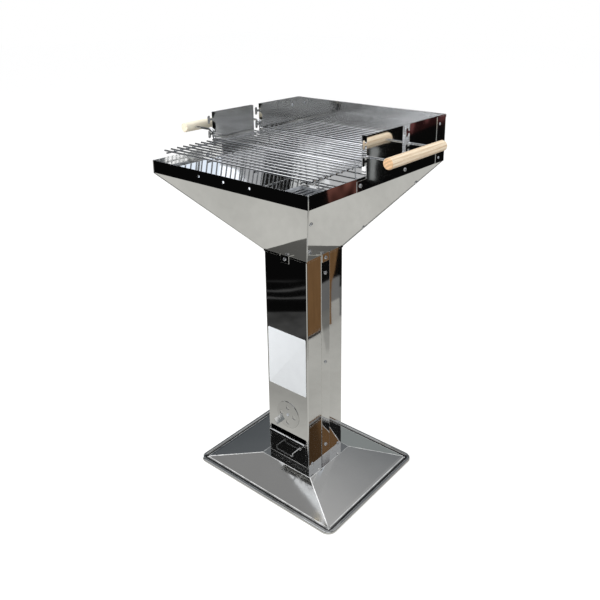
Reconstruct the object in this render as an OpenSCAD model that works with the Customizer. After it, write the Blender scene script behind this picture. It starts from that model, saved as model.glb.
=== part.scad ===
// Pillar barbecue of polished sheet steel: a pressed base plate, a square column with a
// rotary air vent and an ash drawer, a four-panel funnel with an upright rim, a windshield
// on three sides with hooked edges, and a wire grate that hangs in the hooks.
// Millimetres. The front faces -Y, the floor is z = 0, the column's middle is x = y = 0.

/* [Sheet and fasteners] */
// Thickness of the steel sheet
sheet = 1; // [0.8:0.1:1.4]
// Bend radius on the outside of the column and the drawer
bend_r = 3; // [2:0.5:6]
// Diameter of the bolts
bolt_d = 5; // [4:0.5:6]
// Diameter of the bolt heads
head_d = 9; // [8:0.5:10]
// Height of the bolt heads
head_h = 2.6; // [2:0.2:3.2]
// Width across flats of the nuts
nut_af = 8; // [7.6:0.2:9]
// Height of the nuts
nut_h = 3.6; // [3:0.2:4]
// Radial room of a bolt in its hole
bolt_fit = 0.1; // [0.05:0.05:0.3]

/* [Base plate] */
// Width of the base plate
base_w = 470; // [420:5:560]
// Depth of the base plate
base_d = 380; // [340:5:440]
// Corner radius of the base plate
base_r = 24; // [23:1:40]
// Height of the rolled rim
rim_h = 6; // [6:0.5:10]
// Width of the rolled rim
rim_roll = 9; // [8:0.5:10]
// Width of the hem turned inwards under the rim
base_hem = 6; // [4:0.5:8]
// Width of the groove inside the rim
groove_w = 7; // [6:0.5:8]
// Height of the groove's floor above the ground
groove_z = 1.5; // [1:0.5:2.5]
// Width of the raised flat that carries the column
plateau_w = 172; // [168:1:190]
// Depth of the raised flat
plateau_d = 170; // [164:1:190]
// Height of the raised flat
plateau_h = 29; // [22:1:45]
// Diameter of the small holes in the flat's margin
drip_d = 4; // [3:0.5:5]
// Half spacing of those holes along the depth
drip_y = 42; // [30:1:60]

/* [Column] */
// Width of the column
col_w = 140; // [136:1:144]
// Depth of the column
col_d = 144; // [140:1:146]
// Height of the column's top edge above the floor
col_top = 638; // [600:1:700]
// Width of the lap where the two shells meet
lap_w = 31; // [28:1:36]
// Gap between the edges of the two shells
lap_gap = 0.3; // [0.2:0.1:0.5]
// Height of the lowest lap bolt
lap_z1 = 79; // [76:1:100]
// Height of the middle lap bolt
lap_z2 = 333; // [250:1:420]
// Distance of the upper lap bolt below the column's top
lap_drop = 52; // [40:1:70]
// Half spacing of the foot bolts along the depth
foot_y = 56; // [48:1:58]
// Height of the foot bolts above the raised flat
foot_h = 20; // [16:1:24]
// Thickness of the foot angles
angle_t = 1.5; // [1.2:0.1:2]
// Height of the foot angles' upright leg
angle_h = 31; // [28:1:36]
// Width of the foot angles' flat leg
angle_w = 13; // [12:0.5:16]

/* [Ash drawer] */
// Width of the opening for the drawer
mouth_w = 126; // [122:1:128]
// Height of the opening's top edge above the floor
mouth_top = 127; // [125:1:150]
// Gap between the drawer front and the sides of the opening
drawer_gap = 1.5; // [0.5:0.1:2]
// Height of the drawer front
front_h = 85; // [76:1:88]
// Height of the box's walls
box_h = 70; // [50:1:74]
// Width by which the box stays clear of the opening on each side
box_gap = 2.5; // [2:0.1:4]
// Length of the box
box_l = 132; // [110:1:134]
// Bend radius of the lip along the top of the drawer front
lip_r = 5; // [3:0.5:6]
// Turn of the lip's bend
lip_turn = 140; // [100:5:150]
// Length of the lip's straight edge
lip_l = 4; // [2:0.5:6]
// Running clearance under the drawer
drawer_fit = 0.3; // [0.2:0.1:0.5]
// Diameter of the handle wire
bail_d = 3; // [2.5:0.5:4]
// Width of the handle between its feet
bail_w = 57; // [50:1:96]
// Reach of the handle in front of the drawer
bail_out = 17; // [12:1:20]
// Drop of the handle's bar below its feet
bail_drop = 9; // [8.5:0.5:16]
// Centre line radius of the handle's bends
bail_bend = 3.6; // [3:0.1:4]
// Height of the handle's feet above the drawer's floor
bail_z = 49; // [40:1:56]

/* [Air vent] */
// Diameter of the vent disc
disc_d = 77; // [72:1:84]
// Height of the disc's centre
disc_z = 180.5; // [176:0.5:220]
// Gap between disc and column
disc_gap = 0.3; // [0.2:0.1:0.5]
// Diameter of the air holes
air_d = 13; // [8:0.5:14]
// Radius of the circle that the air holes lie on
air_r = 22.5; // [20:0.5:25]
// Width of the finger lug
lug_w = 18; // [12:1:20]
// Length of the finger lug
lug_l = 16; // [10:1:20]
// Distance of the lug outside the disc's edge
lug_out = 2; // [1.5:0.5:4]
// Diameter of the pivot rivet
pivot_d = 5; // [4:0.5:6]
// Radial running clearance of the disc on its rivet
pivot_fit = 0.06; // [0.03:0.01:0.1]

/* [Funnel] */
// Width over the rim
bowl_w = 480; // [440:2:520]
// Depth over the rim
bowl_d = 530; // [480:2:560]
// Height of the rim's top edge above the floor
rim_z = 880; // [860:1:920]
// Height of the upright band below the rim
band_h = 30; // [26:1:40]
// Width of the hidden flanges in the corners
flange_w = 18; // [16:1:24]
// Depth of the skirt around the column's top
skirt_h = 5; // [4:0.5:8]
// Width of the tab in the middle of each skirt
tab_w = 26; // [24:1:28]
// Length of the tab
tab_l = 21; // [19:1:26]
// Width of the slits beside the tab
slit_w = 3; // [2.5:0.5:4]
// Length of the slits above the column's top edge
slit_h = 6; // [4:0.5:9]
// Diameter of the air holes in the front band
hole_d = 6; // [4:0.5:8]
// Spacing of the air holes in the front band
hole_pitch = 79; // [60:1:100]
// Distance of the lower corner bolts up the slope
seam_low = 62; // [40:1:90]
// Distance of the upper corner bolts up the slope
seam_high = 205; // [150:1:230]

/* [Charcoal grate] */
// Height of the charcoal grate
coal_z = 737; // [720:1:770]
// Thickness of the charcoal grate
coal_t = 1.5; // [1.5:0.1:3]
// Gap between its edge and the funnel
coal_fit = 0.3; // [0.2:0.1:0.6]
// Width of a slot
slot_w = 9; // [6:0.5:10]
// Width of the bars between the slots
bar_w = 9; // [7:0.5:12]
// Border around the slots
coal_rim = 18; // [14:1:26]

/* [Windshield] */
// Height of the windshield above the rim
shield_h = 89; // [84:1:110]
// Distance of the front side panel's front edge in front of the middle
edge_fore = 71.5; // [68:0.5:80]
// Length of the front side panel
panel_l = 141.5; // [130:0.5:150]
// Reach of the low foot in front of the side panel
toe_l = 33.5; // [28:0.5:40]
// Drop of the low foot's top below the rim
toe_drop = 6; // [5:0.5:9]
// Distance of the foot's bolt in front of the side panel's edge
toe_bolt = 21.5; // [14:0.5:24]
// Width of the front edges' flanges, which point inwards
edge_lip = 12; // [8:0.5:13]
// Width of the flange on the front side panel's rear edge
slot_lip = 8; // [6:0.5:9]
// Distance of the windshield's bolts below the rim
foot_bolt = 17; // [15:0.5:19]
// Overlap of the rear sheet's returns on the sides
return_w = 40; // [34:1:50]
// Height of the hem on the rear top edge
hem_h = 8; // [6:0.5:10]
// Distance of the rivets from the rear edge
rivet_in = 27; // [22:0.5:32]
// Distance of the upper rivets below the top edge
rivet_drop = 21; // [16:0.5:30]

/* [Hooks] */
// Height of the lower hooks' neck above the rim
hook_z = 33; // [31:0.5:36]
// Vertical spacing of the hooks
hook_pitch = 37; // [35:0.5:38]
// Height of a neck
neck_h = 6; // [5:0.5:7]
// Width of a hook's upright bar
hook_w = 8; // [6:0.5:9]
// Height of a hook's upright bar
hook_h = 21; // [18:0.5:22]
// Side play of the carrying wire in its pocket
pocket_fit = 0.5; // [0.3:0.1:1]
// Gap between the carrying wire's bend and the hook at rest
rest_fit = 0.3; // [0.2:0.1:0.4]

/* [Grill grate] */
// Diameter of the grate rods
rod_d = 4; // [3:0.5:5]
// Spacing of the grate rods
rod_pitch = 19; // [18.5:0.1:20]
// Gap between the rods' ends and the side sheets
rod_gap = 12; // [11:0.5:18]
// Least distance of the first rod from the rim in front
rod_front = 20; // [12:1:24]
// Least distance of the last rod from the rim behind
rod_rear = 6; // [6:1:20]
// Diameter of the carrying wires
wire_d = 6; // [5:0.5:6.5]
// Centre line radius of the carrying wires' upper bend
wire_r = 14; // [13:0.5:15]
// Height of the carrying wires' ends above the hooks' necks
wire_rise = 8; // [7:0.5:9]
// Straight length between the carrying wires' two bends
wire_step = 0.7; // [0.5:0.1:1]
// Depth of the grate rods below the carrying wires' ends
grate_drop = 23.7; // [23.5:0.1:25]
// Distance of the outer cross wires from the rods' ends
cross_in = 13; // [8:1:25]
// Number of rod gaps between the two carrying wires
carrier_gaps = 9; // [7:1:9]

/* [Wooden handles] */
// Diameter of the handles
grip_d = 25; // [22:0.5:28]
// Length of the handles
grip_l = 225; // [205:1:240]
// Distance from the windshield to the handle's axis
grip_out = 75; // [65:1:90]
// Depth to which the wires are set into the wood
grip_set = 15; // [12:0.5:18]
// Radial room of the wires in the wood
grip_fit = 0.05; // [0.02:0.01:0.1]
// Chamfer on the handles' ends
grip_edge = 1.5; // [0.5:0.5:3]

/* [Hidden] */
$fn = 48;

eps = 0.01;
// colours as in the photograph
steel = [0.72, 0.73, 0.72];
dark_steel = [0.35, 0.35, 0.35];
zinc = [0.85, 0.87, 0.9];
chrome = [0.8, 0.8, 0.82];
beech = [0.9, 0.78, 0.6];

// funnel: rectangle at the throat and below the band, and the lean of its sides
throat_w = col_w + 2 * sheet;
throat_d = col_d + 2 * sheet;
band_z = rim_z - band_h;
slope_h = band_z - col_top;
lean_x = atan((bowl_w - throat_w) / 2 / slope_h);
lean_y = atan((bowl_d - throat_d) / 2 / slope_h);
big = 2 * max(bowl_w, bowl_d, base_w);

// windshield: its sheets lie outside the band
shield_x = bowl_w / 2;
shield_top = rim_z + shield_h;
pocket_w = wire_d + 2 * pocket_fit;
// carrying wires and grate rods, all from the front hooks' edge
edge_f = -edge_fore;
carrier_f = edge_f - pocket_w / 2;
carrier_r = carrier_f + carrier_gaps * rod_pitch;
edge_r = carrier_r + pocket_w / 2;
carrier_z = rim_z + hook_z + neck_h / 2 + wire_rise;
rod_z = carrier_z - grate_drop;
cross_z = rod_z - rod_d;
// the carrying wires lie on the cross wires, between two rods
low_z = cross_z + rod_d / 2 + wire_d / 2;
low_r = carrier_z - low_z - wire_r - wire_step;
// rods in front of the front carrying wire and behind the rear one, less one
rods_before = floor((bowl_d / 2 + carrier_f - rod_front) / rod_pitch - 0.5);
rods_behind = floor((bowl_d / 2 - carrier_r - rod_rear) / rod_pitch - 0.5);
rod_n = rods_before + carrier_gaps + rods_behind + 2;
rod_l = bowl_w - 2 * rod_gap;
cross_w = rod_l - 2 * cross_in;
rod_y0 = carrier_f - (rods_before + 0.5) * rod_pitch;
grip_y = (carrier_f + carrier_r) / 2;
grip_x = shield_x + grip_out;
// the upper bend lies on the inner edge of the hook's neck
wire_x = shield_x - wire_r
  + sqrt(pow(wire_r - wire_d / 2 - rest_fit, 2) - pow(wire_r - wire_rise, 2));
// bolts through the windshield's feet and the band
side_bolt_z = rim_z - foot_bolt;
toe_bolt_y = edge_f - toe_bolt;
slot_bolt_y = (edge_f + panel_l + edge_r) / 2;
rear_bolt_x = bowl_w / 4;

// drawer
drawer_z = plateau_h + angle_t + drawer_fit;
box_w = mouth_w - 2 * box_gap;
front_w = mouth_w - 2 * drawer_gap;
lip_out = lip_r * (1 - cos(lip_turn)) + lip_l * sin(lip_turn) + sheet;

// ---- shared shapes

// points of a sheet of thickness t whose outer side follows the path p
function unit(v) = v / norm(v);
function left_of(a, b) = let (u = unit(b - a)) [-u[1], u[0]];
function miter(p, i) =
  let (n = len(p) - 1,
       a = i > 0 ? left_of(p[i - 1], p[i]) : left_of(p[0], p[1]),
       b = i < n ? left_of(p[i], p[i + 1]) : left_of(p[n - 1], p[n]),
       m = unit(a + b))
  m / (m * a);
function strip(p, t) = concat(p, [for (i = [len(p) - 1:-1:0]) p[i] + t * miter(p, i)]);
function arc(c, r, a0, a1, n) = [for (i = [0:n]) let (a = a0 + (a1 - a0) * i / n) c + r * [cos(a), sin(a)]];

module rounded(w, d, r) {
  square([w - 2 * r, d], center = true);
  square([w, d - 2 * r], center = true);
  for (x = [-1, 1], y = [-1, 1]) translate([x * (w / 2 - r), y * (d / 2 - r)]) circle(r);
}

// carries a section around a rounded rectangle; x = 0 of the section is its outline
module around(w, d, r) {
  for (k = [0, 1]) rotate(180 * k) {
    translate([w / 2 - r, d / 2 - r]) rotate_extrude(angle = 90) translate([r, 0]) children();
    translate([-w / 2 + r, d / 2 - r]) rotate(90) rotate_extrude(angle = 90) translate([r, 0]) children();
    translate([w / 2, -d / 2 + r]) rotate([90, 0, 0]) mirror([0, 0, 1])
      linear_extrude(d - 2 * r) children();
    translate([w / 2 - r, d / 2]) rotate([90, 0, 90]) mirror([0, 0, 1])
      linear_extrude(w - 2 * r) children();
  }
}

// block between two levels whose four sides lean from one rectangle to another
module lean_front(w0, d0, z0, h, w1, d1, a = 0, b = big) {
  translate([0, -d0 / 2, z0]) rotate([atan((d1 - d0) / 2 / h), 0, 0])
    translate([-big / 2, a, -big / 2]) cube([big, b - a, big]);
}
module lean_side(w0, d0, z0, h, w1, d1, a = 0, b = big) {
  translate([w0 / 2, 0, z0]) rotate([0, atan((w1 - w0) / 2 / h), 0])
    translate([-b, -big / 2, -big / 2]) cube([b - a, big, big]);
}
module taper(w0, d0, z0, h, w1, d1) {
  intersection() {
    translate([-big / 2, -big / 2, z0]) cube([big, big, h]);
    lean_front(w0, d0, z0, h, w1, d1);
    mirror([0, 1, 0]) lean_front(w0, d0, z0, h, w1, d1);
    lean_side(w0, d0, z0, h, w1, d1);
    mirror([1, 0, 0]) lean_side(w0, d0, z0, h, w1, d1);
  }
}

// bolt along +z: the head starts at z = 0, the shank reaches down to -l
module bolt(l) {
  cylinder(h = head_h * 0.45, d = head_d);
  translate([0, 0, head_h * 0.45]) cylinder(h = head_h * 0.55, d1 = head_d, d2 = head_d * 0.62);
  translate([0, 0, -l]) cylinder(h = l, d = bolt_d);
}
module bolt_hole(l) {
  translate([0, 0, -l]) cylinder(h = 2 * l, d = bolt_d + 2 * bolt_fit);
}
// nut with its top face at z = 0
module nut() {
  translate([0, 0, -nut_h]) difference() {
    cylinder(h = nut_h, d = nut_af / cos(30), $fn = 6);
    translate([0, 0, -1]) cylinder(h = nut_h + 2, d = bolt_d + 2 * bolt_fit);
  }
}
bolt_end = nut_h + 1.2;

// ---- places of the fasteners

// on the column's side laps; x = 0 is the lap's outer face
module lap_places() {
  for (s = [0, 1], z = [lap_z1, lap_z2, col_top - lap_drop]) mirror([s, 0, 0])
    translate([col_w / 2 + sheet, 0, z]) rotate([0, 90, 0]) children();
}
module foot_places() {
  for (s = [0, 1], y = [-1, 1]) mirror([s, 0, 0])
    translate([col_w / 2, y * foot_y, plateau_h + foot_h]) rotate([0, 90, 0]) children();
}
// tabs: front and rear lie on the column, left and right on its laps
module throat_end_places() {
  for (s = [0, 1]) mirror([0, s, 0])
    translate([0, -col_d / 2 - sheet, col_top - tab_l / 2]) rotate([90, 0, 0]) children();
}
module throat_side_places() {
  for (s = [0, 1]) mirror([s, 0, 0])
    translate([col_w / 2 + 2 * sheet, 0, col_top - tab_l / 2]) rotate([0, 90, 0]) children();
}
// corner bolts stand on the side panels, beside the seams
module seam_places() {
  for (sx = [0, 1], sy = [0, 1], d = [seam_low, seam_high]) mirror([sx, 0, 0]) mirror([0, sy, 0])
    translate([throat_w / 2, 0, col_top]) rotate([0, lean_x, 0])
      translate([0, -throat_d / 2 - d * cos(lean_x) * tan(lean_y) + flange_w / 2 + 1, d])
        rotate([0, 90, 0]) children();
}
module shield_side_places() {
  for (s = [0, 1], y = [toe_bolt_y, slot_bolt_y]) mirror([s, 0, 0])
    translate([shield_x + sheet, y, side_bolt_z]) rotate([0, 90, 0]) children();
}
module shield_rear_places() {
  for (x = [-1, 1]) translate([x * rear_bolt_x, bowl_d / 2 + sheet, side_bolt_z])
    rotate([-90, 0, 0]) children();
}

// ---- base plate

module base_section() {
  x1 = -rim_roll;
  x2 = x1 - groove_w;
  p = concat([[-base_hem, 0], [0, 0]], arc([-2.5, rim_h - 2.5], 2.5, 0, 90, 4),
    arc([x1 + 2.5, rim_h - 2.5], 2.5, 90, 150, 3),
    [[x1 - 0.5, groove_z + sheet], [x2, groove_z + sheet], [x2 - 1.5, rim_h - 1], [x2 - 5, rim_h]]);
  polygon(strip(p, sheet));
}
module base_plate() {
  slope_in = rim_roll + groove_w + 3;
  w0 = base_w - 2 * slope_in;
  d0 = base_d - 2 * slope_in;
  z0 = rim_h - sheet / 2;
  h = plateau_h - z0;
  color(steel) difference() {
    union() {
      around(base_w, base_d, base_r) base_section();
      intersection() {
        difference() {
          taper(w0, d0, z0, h, plateau_w, plateau_d);
          translate([0, 0, -sheet]) taper(w0, d0, z0 - eps, h + eps, plateau_w, plateau_d);
        }
        linear_extrude(plateau_h + 1) rounded(w0, d0, base_r - slope_in);
      }
    }
    for (x = [-1, 1], y = [-1, 1])
      translate([x * (col_w + plateau_w + 12) / 4, y * drip_y, plateau_h - 5]) cylinder(h = 10, d = drip_d);
  }
}

// angles that hold the column's foot and carry the drawer
module foot_angles() {
  x = col_w / 2 - sheet;
  color(zinc) difference() {
    for (s = [0, 1]) mirror([s, 0, 0])
      translate([0, foot_y + 7, plateau_h]) rotate([90, 0, 0]) linear_extrude(2 * foot_y + 14)
        polygon([[x - angle_w, 0], [x, 0], [x, angle_h], [x - angle_t, angle_h], [x - angle_t, angle_t],
          [x - angle_w, angle_t]]);
    foot_places() bolt_hole(10);
  }
}

// ---- column

module column_ring() {
  difference() {
    rounded(col_w, col_d, bend_r);
    rounded(col_w - 2 * sheet, col_d - 2 * sheet, bend_r - sheet);
  }
}
module air_holes(turn) {
  for (a = [0:90:270]) rotate(turn + a) translate([air_r, 0]) circle(d = air_d);
}
module column_front_shell() {
  h = col_top - plateau_h;
  color(steel) difference() {
    translate([0, 0, plateau_h]) linear_extrude(h) intersection() {
      column_ring();
      translate([-col_w, -col_d]) square([2 * col_w, col_d + lap_w / 2]);
    }
    // opening of the drawer
    translate([-mouth_w / 2, -col_d, plateau_h - 1]) cube([mouth_w, col_d, mouth_top - plateau_h + 1]);
    // air holes and the pivot of the disc
    translate([0, -col_d / 2 + 2, disc_z]) rotate([90, 0, 0]) linear_extrude(4) {
      air_holes(45);
      circle(d = pivot_d);
    }
    lap_places() bolt_hole(8);
    foot_places() bolt_hole(8);
    throat_end_places() bolt_hole(8);
    throat_side_places() bolt_hole(8);
  }
}
module column_rear_shell() {
  h = col_top - plateau_h;
  color(steel) difference() {
    translate([0, 0, plateau_h]) linear_extrude(h) {
      intersection() {
        column_ring();
        translate([-col_w, lap_w / 2 + lap_gap]) square([2 * col_w, col_d]);
      }
      for (s = [0, 1]) mirror([s, 0]) {
        translate([col_w / 2, -lap_w / 2]) square([sheet, lap_w + lap_gap + sheet]);
        translate([col_w / 2 - sheet, lap_w / 2 + lap_gap]) square([2 * sheet, sheet]);
      }
    }
    lap_places() bolt_hole(8);
    foot_places() bolt_hole(8);
    throat_end_places() bolt_hole(8);
    throat_side_places() bolt_hole(8);
  }
}
module lap_bolts() color(zinc) lap_places() bolt(2 * sheet + bolt_end);
module lap_nuts() color(zinc) lap_places() translate([0, 0, -2 * sheet]) nut();
module foot_bolts() color(zinc) foot_places() bolt(sheet + angle_t + bolt_end);
module foot_nuts() color(zinc) foot_places() translate([0, 0, -sheet - angle_t]) nut();

// ---- ash drawer

module ash_drawer_box() {
  y0 = -col_d / 2 + sheet;
  color(steel) translate([0, y0 + box_l / 2, drawer_z]) difference() {
    linear_extrude(box_h) rounded(box_w, box_l, bend_r);
    translate([0, 0, sheet]) linear_extrude(box_h) rounded(box_w - 2 * sheet, box_l - 2 * sheet, bend_r - sheet);
    translate([0, -box_l / 2, 0]) bail_holes();
  }
}
module bail_holes() {
  for (x = [-1, 1]) translate([x * bail_w / 2, -5, bail_z]) rotate([-90, 0, 0])
    cylinder(h = 10, d = bail_d + 2 * bolt_fit);
}
// front with a lip rolled forwards along its top edge
module ash_drawer_front() {
  y0 = -col_d / 2;
  lip_edge = [-lip_r, front_h - lip_r] + lip_r * [cos(lip_turn), sin(lip_turn)]
    + lip_l * [-sin(lip_turn), cos(lip_turn)];
  color(steel) difference() {
    translate([-front_w / 2, y0, drawer_z]) rotate([90, 0, 90]) linear_extrude(front_w)
      polygon(strip(concat([[0, 0]], arc([-lip_r, front_h - lip_r], lip_r, 0, lip_turn, 10), [lip_edge]), -sheet));
    for (s = [0, 1]) mirror([s, 0, 0]) translate([front_w / 2 - lip_r, y0 - lip_out + lip_r, drawer_z + front_h / 2])
      difference() {
        translate([0, -2 * lip_r, 0]) cube([2 * lip_r, 2 * lip_r, front_h]);
        cylinder(h = front_h, r = lip_r);
      }
    translate([0, y0, drawer_z]) bail_holes();
  }
}
// bent wire: feet through the front, legs forwards and down to the bar
module ash_drawer_handle() {
  y0 = -col_d / 2;
  r = bail_d / 2;
  q = bail_bend;
  // flattened ends behind the box's wall hold the wire
  stub = 2 * sheet + 1.5;
  color(chrome) translate([0, y0, drawer_z + bail_z]) {
    for (s = [0, 1]) mirror([s, 0, 0]) translate([bail_w / 2, 0, 0]) {
      translate([0, -bail_out + q, 0]) rotate([-90, 0, 0]) cylinder(h = bail_out - q + stub, d = bail_d);
      translate([0, 2 * sheet, 0]) rotate([-90, 0, 0]) cylinder(h = stub - 2 * sheet, d = 1.5 * bail_d);
      translate([0, -bail_out + q, -q]) rotate([0, 90, 0]) mirror([1, 0, 0]) mirror([0, 1, 0])
        rotate_extrude(angle = 90) translate([q, 0]) circle(r);
      translate([0, -bail_out, -bail_drop + q]) cylinder(h = bail_drop - 2 * q, d = bail_d);
      translate([-q, -bail_out, -bail_drop + q]) rotate([90, 0, 0]) mirror([0, 1, 0])
        rotate_extrude(angle = 90) translate([q, 0]) circle(r);
    }
    translate([-bail_w / 2 + q, -bail_out, -bail_drop]) rotate([0, 90, 0])
      cylinder(h = bail_w - 2 * q, d = bail_d);
  }
}

// ---- air vent

module vent_disc() {
  lug_r = disc_d / 2 + lug_out;
  color(steel) translate([0, -col_d / 2 - disc_gap, disc_z]) rotate([90, 0, 0]) {
    linear_extrude(sheet) difference() {
      circle(d = disc_d, $fn = 96);
      air_holes(0);
      circle(d = pivot_d + 2 * pivot_fit);
    }
    // tab on the edge, bent outwards
    rotate(220) {
      translate([disc_d / 2 - lug_out - sheet, -lug_w / 2, 0]) cube([2 * lug_out + sheet, lug_w, sheet]);
      translate([lug_r - sheet, -lug_w / 2, 0]) cube([sheet, lug_w, lug_l]);
    }
  }
}
module vent_rivet() {
  out = disc_gap + sheet + 0.2;
  color(zinc) translate([0, -col_d / 2, disc_z]) rotate([90, 0, 0]) {
    translate([0, 0, -sheet]) cylinder(h = sheet + out, d = pivot_d);
    translate([0, 0, out]) cylinder(h = 1, d = 1.7 * pivot_d);
    translate([0, 0, out + 1]) cylinder(h = 1, d1 = 1.7 * pivot_d, d2 = pivot_d);
    translate([0, 0, -sheet - 1.5]) cylinder(h = 1.5, d = 1.7 * pivot_d);
  }
}

// ---- funnel: panels bent from one sheet each, with an upright band, skirt and tab

module funnel_side_lean(a, b) lean_side(throat_w, throat_d, col_top, slope_h, bowl_w, bowl_d, a, b);
module funnel_front_lean(a, b) lean_front(throat_w, throat_d, col_top, slope_h, bowl_w, bowl_d, a, b);
module funnel_block(cut_x = 0) {
  c = 2 * cut_x / cos(lean_x);
  taper(throat_w - c, throat_d, col_top, slope_h, bowl_w - c, bowl_d);
}
// slits that free the tab from the skirt; along y, on the +x side
module slits(from) {
  for (y = [-1, 1]) translate([from - 4, y * (tab_w + slit_w) / 2 - slit_w / 2, col_top - tab_l - 1])
    cube([16, slit_w, tab_l + 1 + slit_h]);
}
module funnel_right() {
  color(steel) difference() {
    union() {
      intersection() { funnel_block(); funnel_side_lean(0, sheet); }
      translate([bowl_w / 2 - sheet, -bowl_d / 2, band_z]) cube([sheet, bowl_d, band_h]);
      for (s = [0, 1]) mirror([0, s, 0]) translate([col_w / 2, tab_w / 2, col_top - skirt_h])
        cube([sheet, throat_d / 2 - tab_w / 2, skirt_h + eps]);
      translate([col_w / 2 + sheet, -tab_w / 2, col_top - tab_l]) cube([sheet, tab_w, tab_l + 1.5 * sheet]);
    }
    slits(col_w / 2);
    // the skirt stays off the column's lap
    for (s = [0, 1]) mirror([0, s, 0]) translate([col_w / 2 - 4, tab_w / 2, col_top - skirt_h - 1])
      cube([16, slit_w + 2, skirt_h + 1]);
    throat_side_places() bolt_hole(8);
    seam_places() bolt_hole(6);
    shield_side_places() bolt_hole(6);
    rivet_places() bolt_hole(6);
  }
}
module funnel_left() mirror([1, 0, 0]) funnel_right();
module funnel_end() {
  t = sheet;
  difference() {
    union() {
      intersection() { funnel_block(sheet); funnel_front_lean(0, sheet); }
      translate([-bowl_w / 2 + t, -bowl_d / 2, band_z]) cube([bowl_w - 2 * t, t, band_h]);
      // skirt and tab
      for (s = [0, 1]) mirror([s, 0, 0]) translate([tab_w / 2, -throat_d / 2, col_top - skirt_h])
        cube([(throat_w - tab_w) / 2 - t, t, skirt_h + eps]);
      translate([-tab_w / 2, -throat_d / 2, col_top - tab_l]) cube([tab_w, t, tab_l + eps]);
    }
    rotate(-90) slits(throat_d / 2 - sheet);
    throat_end_places() bolt_hole(8);
  }
}
module funnel_front() {
  color(steel) difference() {
    funnel_end();
    for (x = [-1:1]) translate([x * hole_pitch, -bowl_d / 2 + 3, side_bolt_z + 4]) rotate([90, 0, 0])
      cylinder(h = 6, d = hole_d);
  }
}
module funnel_rear() {
  color(steel) difference() {
    mirror([0, 1, 0]) funnel_end();
    shield_rear_places() bolt_hole(6);
    rivet_places() bolt_hole(6);
  }
}
// strips welded to the front and rear panels' edges, bolted behind the side panels
module funnel_corner_strips() {
  color(steel) difference() {
    for (s = [0, 1], e = [0, 1]) mirror([s, 0, 0]) mirror([0, e, 0]) union() {
      intersection() {
        funnel_block(sheet);
        funnel_side_lean(sheet, 2 * sheet);
        funnel_front_lean(sheet, flange_w);
      }
      translate([bowl_w / 2 - 2 * sheet, -bowl_d / 2 + sheet, band_z])
        cube([sheet, flange_w - sheet, band_h]);
    }
    seam_places() bolt_hole(6);
  }
}
module funnel_corner_bolts() color(zinc) seam_places() bolt(2 * sheet + bolt_end);
module funnel_corner_nuts() color(zinc) seam_places() translate([0, 0, -2 * sheet]) nut();
module throat_bolts() color(zinc) {
  throat_end_places() bolt(2 * sheet + bolt_end);
  throat_side_places() bolt(3 * sheet + bolt_end);
}
module throat_nuts() color(zinc) {
  throat_end_places() translate([0, 0, -2 * sheet]) nut();
  throat_side_places() translate([0, 0, -3 * sheet]) nut();
}

// ---- charcoal grate: slotted plate whose bevelled edge follows the funnel's sides

module charcoal_grate() {
  rise = coal_z - col_top;
  inx = 2 * (sheet + coal_fit) / cos(lean_x);
  iny = 2 * (sheet + coal_fit) / cos(lean_y);
  w0 = throat_w + 2 * rise * tan(lean_x) - inx - 2 * sheet / cos(lean_x);
  d0 = throat_d + 2 * rise * tan(lean_y) - iny;
  grow_x = 2 * coal_t * tan(lean_x);
  grow_y = 2 * coal_t * tan(lean_y);
  n = floor((w0 - 2 * coal_rim + bar_w) / (slot_w + bar_w));
  l = (d0 - 2 * coal_rim - bar_w) / 2;
  color(dark_steel) difference() {
    taper(w0, d0, coal_z, coal_t, w0 + grow_x, d0 + grow_y);
    for (i = [0:n - 1], s = [-1, 1]) translate([(i - (n - 1) / 2) * (slot_w + bar_w), s * (l + bar_w) / 2, coal_z - 1])
      linear_extrude(coal_t + 2) {
        square([slot_w, l - slot_w], center = true);
        for (e = [-1, 1]) translate([0, e * (l - slot_w) / 2]) circle(d = slot_w);
      }
  }
}

// ---- windshield

// outline of one hook, its neck ending at the edge x = 0; x along the depth, y upwards
module hook() {
  translate([-pocket_w - hook_w / 2, -neck_h / 2]) square([pocket_w + hook_w / 2 + 0.5, neck_h]);
  translate([-pocket_w - hook_w / 2, 0]) {
    square([hook_w, hook_h - hook_w], center = true);
    for (y = [-1, 1]) translate([0, y * (hook_h - hook_w) / 2]) circle(d = hook_w);
  }
}
module side_outline() {
  rear = bowl_d / 2;
  difference() {
    translate([edge_f - toe_l, band_z]) square([rear - edge_f + toe_l, shield_top - band_z]);
    // in front of the side panel, above the low foot
    translate([edge_f - toe_l - 1, rim_z - toe_drop]) square([toe_l + 1, shield_h + toe_drop + 1]);
    // slot between the two panels
    translate([edge_f + panel_l, rim_z]) square([edge_r - edge_f - panel_l, shield_h + 1]);
  }
  for (e = [edge_f, edge_r], k = [0, 1]) translate([e, rim_z + hook_z + k * hook_pitch]) hook();
}
// stretches of an edge flange between the necks
module edge_flange(y, side) {
  m = neck_h / 2 + 1.5;
  z = concat([rim_z + 4], [for (k = [0, 1], e = [-1, 1]) rim_z + hook_z + k * hook_pitch + e * m], [shield_top]);
  w = side > 0 ? edge_lip : slot_lip;
  for (i = side > 0 ? [0, 2, 4] : [0])
    translate([shield_x - w, side > 0 ? y : y - sheet, z[i]])
      cube([w + sheet, sheet, (side > 0 ? z[i + 1] : shield_top) - z[i]]);
}
module windshield_right() {
  color(steel) difference() {
    union() {
      translate([shield_x, 0, 0]) rotate([90, 0, 90]) linear_extrude(sheet) side_outline();
      edge_flange(edge_f, 1);
      edge_flange(edge_f + panel_l, -1);
      edge_flange(edge_r, 1);
    }
    shield_side_places() bolt_hole(6);
    rivet_places() bolt_hole(6);
  }
}
module windshield_left() mirror([1, 0, 0]) windshield_right();
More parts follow.
